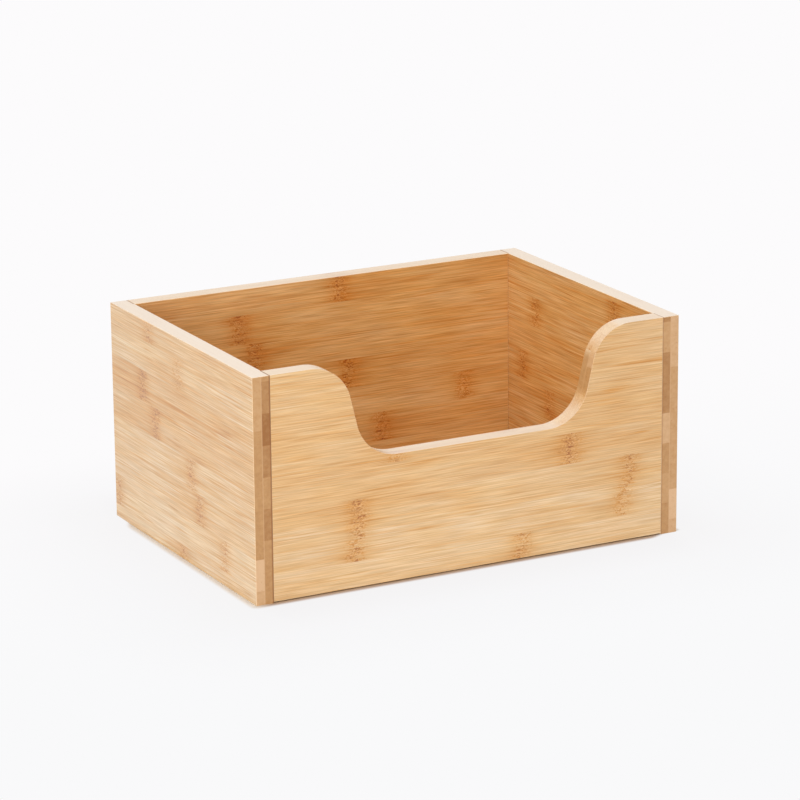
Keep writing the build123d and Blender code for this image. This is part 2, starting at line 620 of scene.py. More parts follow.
    def threads(self, place: Place) -> Socket:
        """Mark the vascular bundles, threads on a face and dots on end grain, some darker than others.

        Args:
            place: Place among the fibres.

        Returns:
            How much of a bundle is there.
        """
        vector = self.stretched(place, self.BUNDLE_LENGTH, self.BUNDLE_WIDTH)
        inputs = {"Vector": vector, "Scale": 1.0, "Randomness": 1.0}
        cells = self.add("ShaderNodeTexVoronoi", inputs, voronoi_dimensions="3D", feature="F1").outputs
        darkness = self.channels(cells["Color"])[0]
        return self.times(self.remap(cells["Distance"], *self.BUNDLE), darkness)

    def hue(self, straight: Place, bent: Value, colours: BambooColours) -> Socket:
        """Make the wood a little yellower here and greyer there.

        Args:
            straight: Place in the strip.
            bent: Place across it, among the bent fibres.
            colours: The bamboo's colours.

        Returns:
            The colour that multiplies the wood's own.
        """
        along, across, through = straight
        apart = self.plus(through, self.HUE_THROUGH)
        tint = self.streaks((along, bent, apart), self.TINT)
        warmth = self.streaks((along, across, apart), self.WARMTH)
        mixed = self.weighed(tint, self.TINT_IN_HUE, warmth)
        share = self.remap(mixed, -self.HUE_RANGE, self.HUE_RANGE)
        return self.tint(share, colours.deep, colours.chalky)


class JointShade(GroupGraph):
    """Painted shade: the thin dark line where the end boards meet the side boards, standing in for the
    shadow in the crease between them, in the box's own frame.
    """

    # Where the line fades, in mm: over the side board, over the end board's end, and from the inner face.
    ON_SIDE = (0.6, 1.3)
    ON_END = (-0.15, 0.15)
    IN_JOINT = (0.2, 0.6)
    DARKNESS = (0.70, 0.44)  # at the box's left and at its right
    MIDDLE = 10 * MM  # how far to each side of the box's middle one darkness turns into the other

    def __init__(self) -> None:
        """Build the group from where the frame's boards meet."""
        super().__init__("joint_shade", "ShaderNodeTree", {"Place": VECTOR}, {"Shade": FLOAT})
        _, front_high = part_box("front_board")
        x, y, _ = self.parts(self.given["Place"])
        past_end = self.over(self.minus(self.unsigned(x), front_high.x), MM)
        past_face = self.over(self.plus(self.unsigned(y), front_high.y), MM)
        on_side = self.remap(past_end, *self.ON_SIDE, 1.0, 0.0)
        on_end = self.remap(past_end, *self.ON_END)
        in_joint = self.remap(past_face, *self.IN_JOINT)
        darkness = self.remap(x, -self.MIDDLE, self.MIDDLE, *self.DARKNESS)
        self.give({"Shade": self.times(self.math("MINIMUM", on_side, on_end), in_joint, darkness)})


def matrix_of(*columns: Vector) -> Matrix:
    """Give the transform whose columns are three axes and an origin."""
    return Matrix([[column[row] for column in columns] for row in range(3)] + [[0, 0, 0, 1]])


@dataclass(frozen=True)
class BoardPlace:
    """Where a board lies: the axes of its grain, its width and its outward face, and its inner middle."""

    along: Vector
    across: Vector
    outward: Vector
    inner_middle: Vector

    def matrix(self) -> Matrix:
        """Give the transform from the board's own axes to the box's."""
        return matrix_of(self.along, self.across, self.outward, self.inner_middle)


class BoardGraph(Graph):
    """The node tree of one board's material, which measures along the board's own axes."""

    def __init__(self, tree: bpy.types.NodeTree, place: BoardPlace) -> None:
        """Work on one tree.

        Args:
            tree: The material's tree.
            place: Where the board lies.
        """
        super().__init__(tree)
        self.place = place
        self.coordinates = self.add("ShaderNodeTexCoord").outputs

    def measured(self, source: str, axis: Vector, scale: float = 1.0) -> Socket:
        """Measure Object or Normal coordinates along an axis."""
        inputs = {0: self.coordinates[source], 1: tuple(axis * scale)}
        return self.add("ShaderNodeVectorMath", inputs, operation="DOT_PRODUCT").outputs["Value"]

    def inside(self, thickness: float) -> Place:
        """Give the place in the board, in mm.

        Args:
            thickness: The board's thickness, in metres.

        Returns:
            The place along the grain, across it, and outward from the line between the plies.
        """
        ply_line = (self.place.inner_middle.dot(self.place.outward) + thickness / 2) / MM
        along = self.measured("Object", self.place.along, 1 / MM)
        across = self.measured("Object", self.place.across, 1 / MM)
        through = self.minus(self.measured("Object", self.place.outward, 1 / MM), ply_line)
        return along, across, through

    def facing(self, axis: Vector) -> Socket:
        """Give how squarely the surface faces along an axis, to either side."""
        return self.unsigned(self.measured("Normal", axis))


@dataclass(frozen=True)
class StripFacts:
    """What a point's strip is like.

    Its marks are a colour that holds the face's tone and the places of the bold and the faint knuckle.
    """

    number: Socket
    seam: Socket
    marks: Socket
    end_tone: Socket


class LaminateMaker:
    """Makes the finish of laminated boards from shared node groups."""

    INNER_STRIPS = 20.0  # from an outer strip's number to the inner one's

    # How squarely a surface has to face a way to count as one of these, from not at all to wholly.
    END = (0.88, 1.0)
    EDGE = (0.6, 0.85)
    SLOPING_EDGE = (0.4, 0.8)
    LEVEL_EDGE = (0.92, 1.0)
    INNER_FACE = (0.6, 0.85)

    # How strongly each mark shows.
    SEAM = 0.12
    ROUNDING_PALENESS_AND_HIGHLIGHT = 0.9
    BUNDLES = 0.3
    MOTTLE = 0.5
    PLY_LINE = 0.32

    PLY_LINE_FADE = (0.2, 0.5)  # mm
    # Painted shade: the inner faces are deepened and warmed as the shadowed, warm-lit inside of the box
    # would be.
    INNER_SHADE_GAMMA = 1.33  # the gamma that deepens the colour of an inner face
    COAT = 0.6
    COAT_LOST = 0.55  # what a bare cut edge lacks of it
    COAT_ROUGHNESS = 0.2
    END_BARENESS = 0.6
    EDGE_DULLNESS = 0.25
    RELIEF = 0.2
    RELIEF_DEPTH = 0.1 * MM

    def __init__(self, colours: BambooColours) -> None:
        """Build the shared groups.

        Args:
            colours: The bamboo's colours.
        """
        self.colours = colours
        self.layout = StripLayout()
        self.bamboo = SolidBamboo(colours)
        self.joints = JointShade()

    def material(
        self, name: str, place: BoardPlace, thickness: float, laminate: Laminate, seed: float
    ) -> bpy.types.Material:
        """Make one board's material.

        Args:
            name: The material's name.
            place: Where the board lies.
            thickness: The board's thickness, in metres.
            laminate: Its plies.
            seed: Sets this board's fibres apart from the others'.

        Returns:
            The material.
        """
        material = new_material(name)
        graph = BoardGraph(material.node_tree, place)
        along, across, through = graph.inside(thickness)
        facts = self.strip_facts(graph, laminate, across, through)
        face_tone, bold, faint = graph.channels(facts.marks)
        inputs = {
            "Along": along,
            "Across": across,
            "Through": through,
            "Strip": graph.plus(facts.number, seed),
            "Tone": face_tone,
            "Knuckle A": graph.times(graph.minus(bold, 0.5), KNUCKLE_SPAN),
            "Knuckle B": graph.times(graph.minus(faint, 0.5), KNUCKLE_SPAN),
            "Crispness": laminate.crispness,
        }
        bamboo = self.bamboo.used_in(graph, inputs)

        on_end = graph.remap(graph.facing(place.along), *self.END)
        on_edge = graph.remap(graph.facing(place.across), *self.EDGE)
        wood = graph.tint(on_end, self.faces(graph, bamboo), self.end_grain(graph, bamboo, facts, through))
        wood = self.finished(graph, wood, facts.seam, laminate.edge_paleness_and_highlight)
        bare = graph.math("MAXIMUM", graph.times(on_end, self.END_BARENESS), on_edge)
        surface = {
            "Base Color": wood,
            "Roughness": graph.weighed(on_edge, self.EDGE_DULLNESS, bamboo["Roughness"]),
            "Coat Weight": graph.weighed(bare, -self.COAT_LOST, self.COAT),
            "Coat Roughness": self.COAT_ROUGHNESS,
            "Normal": graph.relief(bamboo["Height"], self.RELIEF, self.RELIEF_DEPTH),
        }
        graph.surface(surface)
        return material

    def strip_facts(self, graph: Graph, laminate: Laminate, across: Value, through: Value) -> StripFacts:
        """Look up the strip at each point.

        Args:
            graph: The material's graph.
            laminate: The board's plies.
            across: Place across the strips, in mm.
            through: Place outward from the line between the plies.

        Returns:
            The facts on the strip.
        """
        is_outer = graph.math("GREATER_THAN", through, 0.0)
        outer = self.ply_facts(graph, laminate.outer, across)
        inner = self.ply_facts(graph, laminate.inner, across)
        return StripFacts(
            number=graph.lerp(is_outer, graph.plus(inner.number, self.INNER_STRIPS), outer.number),
            seam=graph.lerp(is_outer, inner.seam, outer.seam),
            marks=graph.tint(is_outer, inner.marks, outer.marks),
            end_tone=graph.lerp(is_outer, inner.end_tone, outer.end_tone),
        )

    def ply_facts(self, graph: Graph, ply: Ply, across: Value) -> StripFacts:
        """Look up a ply's strip at each point.

        Args:
            graph: The material's graph.
            ply: The ply.
            across: Place across the strips, in mm.

        Returns:
            The facts on the strip.
        """
        strips = float(len(ply.ends))
        inputs = {"Across": across, "First Seam": ply.first_seam, "Pitch": ply.pitch, "Strips": strips}
        layout = self.layout.used_in(graph, inputs)
        row = graph.ramp(layout["Share"], ply.rows(), step=True)
        return StripFacts(layout["Index"], layout["Seam"], row["Color"], row["Alpha"])

    def faces(self, graph: BoardGraph, bamboo: Outputs) -> Socket:
        """Colour the faces, with painted shade on the inner one: a deeper, warmer colour that stands in for
        the shade and warm bounced light inside the box.

        Args:
            graph: The material's graph.
            bamboo: The fibres' outputs.

        Returns:
            The colour.
        """
        inward = graph.remap(graph.measured("Normal", graph.place.outward, -1.0), *self.INNER_FACE)
        shaded_inner = graph.add("ShaderNodeGamma", {"Color": bamboo["Color"], "Gamma": self.INNER_SHADE_GAMMA}).outputs[0]
        return graph.tint(inward, bamboo["Color"], graph.glaze(shaded_inner, self.colours.inner_shade_tint))

    def end_grain(self, graph: Graph, bamboo: Outputs, facts: StripFacts, through: Value) -> Socket:
        """Colour the end grain, with its dots and the pale line between the plies.

        Args:
            graph: The material's graph.
            bamboo: The fibres' outputs.
            facts: What the strip is like.
            through: Place outward from the line between the plies.

        Returns:
            The colour.
        """
        colours = self.colours
        tone = graph.weighed(bamboo["Mottle"], self.MOTTLE, facts.end_tone)
        stops = ((0.0, colours.end_dark), (0.5, colours.end_middle), (1.0, colours.end_pale))
        mottled = graph.ramp(tone, stops)["Color"]
        dotted = graph.tint(graph.times(bamboo["Bundles"], self.BUNDLES), mottled, colours.bark)
        line = graph.remap(graph.unsigned(through), *self.PLY_LINE_FADE, self.PLY_LINE, 0.0)
        return graph.tint(line, dotted, colours.end_pale)

    def finished(self, graph: BoardGraph, wood: Value, seam: Value, edge_paleness_and_highlight: float) -> Socket:
        """Lay over the wood its pale cut edges with their painted highlight, its seams, the painted
        highlight on its sanded roundings and the painted shade in the box's joints.

        Args:
            graph: The material's graph.
            wood: The wood's colour.
            seam: The mark of the seams.
            edge_paleness_and_highlight: How far the cut edges are paler than the faces, partly as a painted
                highlight.

        Returns:
            The finished colour.
        """
        colours = self.colours
        # Paler cut edges, half as pale on the scoop's sloping flanks: partly the edge grain's own colour,
        # partly a painted highlight of the light from above.
        on_edge = graph.facing(graph.place.across)
        sloping = graph.remap(on_edge, *self.SLOPING_EDGE)
        pale = graph.lerp(0.5, sloping, graph.remap(on_edge, *self.LEVEL_EDGE))
        wood = graph.tint(graph.times(pale, edge_paleness_and_highlight), wood, colours.cut_edge_and_highlight)
        wood = graph.tint(graph.times(seam, self.SEAM), wood, colours.bark)
        # Painted highlight, partly the paler sanded wood: the sanded roundings turn cream where they lean
        # halfway between face and edge, as if catching the light.
        on_face = graph.facing(graph.place.outward)
        rounding = graph.times(on_face, graph.math("SQRT", graph.minus(1.0, graph.times(on_face, on_face))))
        wood = graph.tint(graph.times(rounding, self.ROUNDING_PALENESS_AND_HIGHLIGHT), wood, colours.cream)
        # Painted shade: a dark line in the creases where the end boards meet the side boards, darker at the
        # box's left.
        joints = self.joints.used_in(graph, {"Place": graph.coordinates["Object"]})
        return graph.tint(joints["Shade"], wood, colours.crease_shade)


@dataclass(frozen=True)
class Scoop:
    """The cut-out in the front board's top edge, in metres.

    On each side a hollow corner joins the floor to a leaning flank, and a round shoulder joins the flank
    to the board's top edge.
    """

    floor_width: float = 107 * MM
    offset: float = 1.6 * MM
    lower_radius: float = 28.5 * MM
    flank_lean: float = radians(13.5)
    flank_length: float = 18.7 * MM
    upper_radius: float = 28 * MM

    def cut_off(self, radius: float) -> float:
        """Give how much of the slope a corner's rounding takes."""
        return radius * tan((radians(90) - self.flank_lean) / 2)

    def slope_length(self) -> float:
        """Give the length of the slope between its corners, before they are rounded."""
        return self.cut_off(self.lower_radius) + self.flank_length + self.cut_off(self.upper_radius)

    def drop(self) -> float:
        """Give how far the floor lies below the top edge."""
        return self.slope_length() * cos(self.flank_lean)

    def floor_end(self) -> float:
        """Give how far the slope's lower corner lies from the scoop's middle."""
        return self.floor_width / 2 + self.cut_off(self.lower_radius)

    def shoulder(self) -> float:
        """Give how far the slope's upper corner lies from the scoop's middle."""
        return self.floor_end() + self.slope_length() * sin(self.flank_lean)

    def reach(self) -> float:
        """Give how far the scoop reaches from the board's middle, up to where the top edge is straight."""
        return self.shoulder() + self.cut_off(self.upper_radius) + abs(self.offset)

    def slab_sizes(self, top: float) -> dict[str, float]:
        """Give the slab's inputs on the scoop, under a top edge of some height."""
        return {"Scoop Floor": top - self.drop(), "Scoop Reach": self.reach(), "Fade": self.upper_radius}

    def corners(self, top: float) -> list[tuple[float, float, float]]:
        """Give the scoop's corners before rounding, from the right shoulder to the left one.

        Args:
            top: Height of the board's top edge.

        Returns:
            Each corner's place along and up the board, and its radius.
        """
        floor = top - self.drop()
        return [
            (self.offset + self.shoulder(), top, self.upper_radius),
            (self.offset + self.floor_end(), floor, self.lower_radius),
            (self.offset - self.floor_end(), floor, self.lower_radius),
            (self.offset - self.shoulder(), top, self.upper_radius),
        ]


NO_SCOOP = {"Scoop Floor": 0.0, "Scoop Reach": 0.0, "Fade": 1.0}  # for a plain board


@dataclass(frozen=True)
class DowelHoles:
    """Two mirrored rows of blind holes in a board, in the board's own axes and in metres."""

    start: Vector
    pitch: float
    rows: int
    radius: float
    depth: float
    from_ends: bool


class SlabTree(GroupGraph):
    """Turns an outline of edges into a slab, rounding each corner by its own radius."""

    WELD = 0.001 * MM  # how close together two points are merged
    SCOOP_MARGIN = 1 * MM  # how far below the scoop's floor its edges may still lie

    def __init__(self) -> None:
        """Build the geometry nodes."""
        lengths = ("Thickness", "Scoop Floor", "Scoop Reach", "Top", "Fade", "Plain Share")
        inputs = {"Outline": GEOMETRY, "Steps": WHOLE} | dict.fromkeys(lengths, FLOAT)
        super().__init__("board_slab", "GeometryNodeTree", inputs, {"Slab": GEOMETRY})
        curve = self.add("GeometryNodeMeshToCurve", {"Mesh": self.given["Outline"]})
        stored = self.add("GeometryNodeInputNamedAttribute", {"Name": "corner_radius"}, data_type="FLOAT")
        radius = stored.outputs["Attribute"]
        steps = self.times(self.math("GREATER_THAN", radius, 0.0), self.given["Steps"])
        corners = {"Curve": curve.outputs[0], "Radius": radius, "Count": steps}
        rounded = self.add("GeometryNodeFilletCurve", corners, mode="POLY")
        face = self.add("GeometryNodeFillCurve", {"Curve": rounded.outputs[0]}, mode="NGONS")
        lift = {"Mesh": face.outputs[0], "Offset Scale": self.given["Thickness"], "Individual": False}
        raised = self.add("GeometryNodeExtrudeMesh", lift, mode="FACES")
        back = self.add("GeometryNodeFlipFaces", {"Mesh": face.outputs[0]})
        joined = self.add("GeometryNodeJoinGeometry")
        for skin in (back, raised):
            self.feed(joined.inputs[0], skin.outputs[0])
        weld = {"Geometry": joined.outputs[0], "Distance": self.WELD}
        welded = self.add("GeometryNodeMergeByDistance", weld)
        weights = {"Geometry": welded.outputs[0], "Name": "bevel_weight_edge", "Value": self.edge_share()}
        slab = self.add("GeometryNodeStoreNamedAttribute", weights, data_type="FLOAT", domain="EDGE")
        self.give({"Slab": slab.outputs[0]})

    def edge_share(self) -> Socket:
        """Give how far each sharp edge is rounded, from little on plain edges to fully down in the scoop.

        Returns:
            The share of the bevel's width.
        """
        x, y, _ = self.parts(self.add("GeometryNodeInputPosition").outputs[0])
        depth = self.minus(self.given["Top"], y)
        fade = self.math("DIVIDE", depth, self.given["Fade"], clamp=True)
        within = self.math("LESS_THAN", self.unsigned(x), self.given["Scoop Reach"])
        above = self.math("GREATER_THAN", y, self.minus(self.given["Scoop Floor"], self.SCOOP_MARGIN))
        in_scoop = self.times(fade, self.times(within, above))
        share = self.lerp(in_scoop, self.given["Plain Share"], 1.0)
        angle = self.add("GeometryNodeInputMeshEdgeAngle").outputs["Unsigned Angle"]
        return self.times(share, self.math("GREATER_THAN", angle, SHARP))


class JoineryTree(GroupGraph):
    """Cuts a board's base groove and its dowel holes, and marks its sharp edges."""

    HOLE_SIDES = 48

    def __init__(self) -> None:
        """Build the geometry nodes."""
        inputs = {
            "Slab": GEOMETRY,
            "Groove Size": VECTOR,
            "Groove Middle": VECTOR,
            "Hole Start": VECTOR,
            "Hole Pitch": FLOAT,
            "Hole Rows": WHOLE,
            "Hole Radius": FLOAT,
            "Hole Depth": FLOAT,
            "Hole Turn": "NodeSocketRotation",
            "Finish": "NodeSocketMaterial",
        }
        super().__init__("board_joinery", "GeometryNodeTree", inputs, {"Board": GEOMETRY})
        cutters = self.add("GeometryNodeJoinGeometry")
        for cutter in (self.drills(), self.groove()):
            self.feed(cutters.inputs[0], cutter)
        slab = {"Mesh 1": self.given["Slab"]}
        cut = self.add("GeometryNodeMeshBoolean", slab, operation="DIFFERENCE", solver="EXACT")
        self.feed(cut.inputs["Mesh 2"], cutters.outputs[0])
        faces = {0: cut.outputs[0], "Shade Smooth": True}
        smooth = self.add("GeometryNodeSetShadeSmooth", faces, domain="FACE")
        angle = self.add("GeometryNodeInputMeshEdgeAngle").outputs["Unsigned Angle"]
        is_sharp = self.math("GREATER_THAN", angle, SHARP)
        edges = {0: smooth.outputs[0], "Selection": is_sharp, "Shade Smooth": False}
        sharp = self.add("GeometryNodeSetShadeSmooth", edges, domain="EDGE")
        real = self.add("GeometryNodeRealizeInstances", {0: sharp.outputs[0]})
        dressed = self.add("GeometryNodeSetMaterial", {0: real.outputs[0], "Material": self.given["Finish"]})
        self.give({"Board": dressed.outputs[0]})

    def groove(self) -> Socket:
        """Shape the bar that cuts the groove.

        Returns:
            The bar.
        """
        bar = self.add("GeometryNodeMeshCube", {"Size": self.given["Groove Size"]})
        move = {"Geometry": bar.outputs[0], "Translation": self.given["Groove Middle"]}
        return self.add("GeometryNodeTransform", move).outputs[0]

    def drills(self) -> Socket:
        """Stand a drill at each hole of the two rows.

        Returns:
            The drills, as one mesh.
        """
        start = self.given["Hole Start"]
        mirrored = self.add("ShaderNodeVectorMath", {0: start, 1: (-1.0, 1.0, 1.0)}, operation="MULTIPLY")
        rows = self.add("GeometryNodeJoinGeometry")
        for first in (start, mirrored.outputs[0]):
            row = {"Count": self.given["Hole Rows"], "Start Location": first}
            line = self.add("GeometryNodeMeshLine", row, mode="OFFSET", count_mode="TOTAL")
            self.feed(line.inputs["Offset"], self.vector(0.0, self.given["Hole Pitch"], 0.0))
            self.feed(rows.inputs[0], line.outputs[0])
        radius = self.given["Hole Radius"]
        sizes = {"Vertices": self.HOLE_SIDES, "Radius": radius, "Depth": self.given["Hole Depth"]}
        drill = self.add("GeometryNodeMeshCylinder", sizes).outputs[0]
        stands = {"Points": rows.outputs[0], "Instance": drill, "Rotation": self.given["Hole Turn"]}
        drills = self.add("GeometryNodeInstanceOnPoints", stands)
        return self.add("GeometryNodeRealizeInstances", {0: drills.outputs[0]}).outputs[0]


@dataclass
class Board:
    """One board of the box, built in its own axes and then placed."""

    name: str
    body: str
    slot: str
    place: BoardPlace
    outline: list[tuple[float, float, float]]
    thickness: float
    top: float
    rounding: float
    scoop_rounding: float
    scoop: Scoop | None
    groove_size: Vector
    groove_middle: Vector
    holes: DowelHoles
    corner_steps: int = 28
    rounding_segments: int = 4

    def build(self, slab: SlabTree, joinery: JoineryTree, finish: bpy.types.Material) -> bpy.types.Object:
        """Build the board's mesh and put it in the scene.

        Args:
            slab: The tree that makes the slab.
            joinery: The tree that cuts the groove and the holes.
            finish: The board's material.

        Returns:
            The finished object.
        """
        board = put_in_scene(f"{self.name}_bamboo", self.wire())
        sizes = {
            "Thickness": self.thickness,
            "Steps": self.corner_steps,
            "Top": self.top,
            "Plain Share": self.rounding / self.scoop_rounding,
        }
        scoop_sizes = self.scoop.slab_sizes(self.top) if self.scoop else NO_SCOOP
        self.use_tree(board, slab, sizes | scoop_sizes)
        bevel = board.modifiers.new("sanded edges", "BEVEL")
        bevel.width = self.scoop_rounding
        bevel.segments = self.rounding_segments
        bevel.limit_method = "WEIGHT"
        self.use_tree(board, joinery, self.cuts() | {"Finish": finish})
        weighted = board.modifiers.new("flat faces", "WEIGHTED_NORMAL")
        weighted.keep_sharp = True
        baked = bake(board)
        baked.transform(self.place.matrix())
        board.data = baked
        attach(board, self.body)
        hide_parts(self.name)
        return board

    def wire(self) -> bpy.types.Mesh:
        """Draw the outline as a loop of edges.

        Returns:
            The mesh, which keeps each corner's radius.
        """
        wire = bpy.data.meshes.new(f"{self.name}_bamboo")
        count = len(self.outline)
        edges = [(corner, (corner + 1) % count) for corner in range(count)]
        wire.from_pydata([(x, y, 0) for x, y, _ in self.outline], edges, [])
        radii = wire.attributes.new("corner_radius", "FLOAT", "POINT")
        radii.data.foreach_set("value", [radius for _, _, radius in self.outline])
        return wire

    def cuts(self) -> dict[str, object]:
        """Give the joinery's sizes. Half of each drill stands outside the board.

        Returns:
            The sizes by input name.
        """
        return {
            "Groove Size": self.groove_size,
            "Groove Middle": self.groove_middle,
            "Hole Start": self.holes.start,
            "Hole Pitch": self.holes.pitch,
            "Hole Rows": self.holes.rows,
            "Hole Radius": self.holes.radius,
            "Hole Depth": 2 * self.holes.depth,
            "Hole Turn": (0.0, radians(90) if self.holes.from_ends else 0.0, 0.0),
        }

    @staticmethod
    def use_tree(board: bpy.types.Object, tree: GroupGraph, values: Mapping[str, object]) -> None:
        """Put a geometry tree on a board.

        Args:
            board: The board's object.
            tree: The tree.
            values: What its inputs are set to, by name.
        """
        modifier = board.modifiers.new(tree.tree.name, "NODES")
        modifier.node_group = tree.tree
        for name, value in values.items():
            modifier[tree.identifier(name)] = value


def put_in_scene(name: str, data: bpy.types.ID) -> bpy.types.Object:
    """Make an object of some data and link it to the scene.

    Args:
        name: The object's name.
        data: Its mesh, light or camera.

    Returns:
        The object.
    """
    piece = bpy.data.objects.new(name, data)
    bpy.context.scene.collection.objects.link(piece)
    return piece


def new_material(name: str) -> bpy.types.Material:
    """Make a material with a plain Principled BSDF.

    Args:
        name: The material's name.

    Returns:
        The material.
    """
    material = bpy.data.materials.new(name)
    material.use_nodes = True
    return material


def bake(piece: bpy.types.Object) -> bpy.types.Mesh:
    """Turn a piece's modifiers into a plain mesh and remove them.

    Args:
        piece: The object with live modifiers.

    Returns:
        The evaluated mesh.
    """
    graph = bpy.context.evaluated_depsgraph_get()
    graph.update()
    evaluated = piece.evaluated_get(graph)
    mesh = bpy.data.meshes.new_from_object(evaluated, preserve_all_data_layers=True, depsgraph=graph)
    piece.modifiers.clear()
    return mesh


def dress(node: bpy.types.Object, finish: bpy.types.Material) -> None:
    """Give a node of the frame a new material in every slot.

    Args:
        node: The node.
        finish: The material.
    """
    for slot in node.material_slots:
        slot.material = finish
    log.info("%s: %s", node.name, finish.name)


@dataclass(frozen=True)
class DowelFinish:
    """Plain turned beech, with straight fibres and short flecks."""

    pale: Colour = srgb(226, 196, 156)
    dark: Colour = srgb(196, 158, 112)
    fibres: Streaks = Streaks(9.0, 0.5, detail=3.0)
    flecks: Streaks = Streaks(2.2, 0.3)
    fleck_share: float = 0.5  # how strong the flecks are beside the fibres
    light_range: Span = (0.2, 0.8)  # where the wood is wholly dark, and where wholly pale
    roughness: float = 0.62
    fibre_roughness: float = -0.3  # what a pale fibre adds to it
    relief: float = 0.4
    relief_depth: float = 0.05 * MM

    def material(self) -> bpy.types.Material:
        """Make the dowels' material.

        Returns:
            The material.
        """
        material = new_material("dowel_beech")
        graph = Graph(material.node_tree)
        place = graph.parts(graph.add("ShaderNodeTexCoord").outputs["Object"])
        in_mm = tuple(graph.times(value, 1 / MM) for value in place)
        fibre = graph.streaks(in_mm, self.fibres)
        fleck = graph.streaks(in_mm, self.flecks)
        light = graph.plus(0.5, graph.plus(fibre, graph.times(fleck, self.fleck_share)))
        surface = {
            "Base Color": graph.tint(graph.remap(light, *self.light_range), self.dark, self.pale),
            "Roughness": graph.weighed(fibre, self.fibre_roughness, self.roughness),
            "Normal": graph.relief(light, self.relief, self.relief_depth),
        }
        graph.surface(surface)
        return material


@dataclass(frozen=True)
class BoardLook:
    """Which way a board's outward face looks, its slot, and its laminate."""

    outward: Vector
    slot: str
    laminate: Laminate


LOOKS = {
    "front_board": BoardLook(
        Vector((0, -1, 0)),
        "end_bamboo",
        Laminate(
            Ply(
                -2.5,
                "HMMHMMGM",
                "MMBDDDDB",
                (36, (-81, 110), (-79, 115), 70, (OFF, -52), None, None, None),
            ),
            Ply(-12.5, "MMHMBMMM", "MMHMMDMB", (-12, 64, None, -98, 30, None, -110, 84)),
            edge_paleness_and_highlight=0.64,
        ),
    ),
    "back_board": BoardLook(
        Vector((0, 1, 0)),
        "end_bamboo",
        Laminate(
            Ply(-5.0, "MHGMHMGH", "MHMMMHMM", (58, -36, (-112, 96), 20, None, -70, 44, -8)),
            Ply(-13.5, "HMHGMHGM", "MMMHMMMB", (-90, 22, -40, (-104, 88), -16, 54, 64, -9)),
            edge_paleness_and_highlight=0.64,
        ),
    ),
    "left_side_board": BoardLook(
        Vector((-1, 0, 0)),
        "side_bamboo",
        Laminate(
            Ply(
                -11.25,
                "GPMMMMHH",
                "HGMMDDMB",
                (0, (-99, 62), 26, 15, -38, -56, (OFF, -2), (OFF, -46)),
                20.25,
            ),
            Ply(0.7, "MMBMBDBM", "MMHMMMHM", (None, -70, 44, -12, 80, -52, 30, None)),
            crispness=1.6,
            edge_paleness_and_highlight=0.85,
        ),
    ),
    "right_side_board": BoardLook(
        Vector((1, 0, 0)),
        "side_bamboo",
        Laminate(
            Ply(-11.0, "GPHHHHGG", "MMHMMHMM", (None, 24, (-84, 78), -30, 52, -6, None, -60), 20.25),
            Ply(0.7, "MHMGBBHB", "MHMMMHMM", (10, -66, 38, 74, -24, 56, -45, None)),
            crispness=1.6,
            edge_paleness_and_highlight=0.85,
        ),
    ),
}


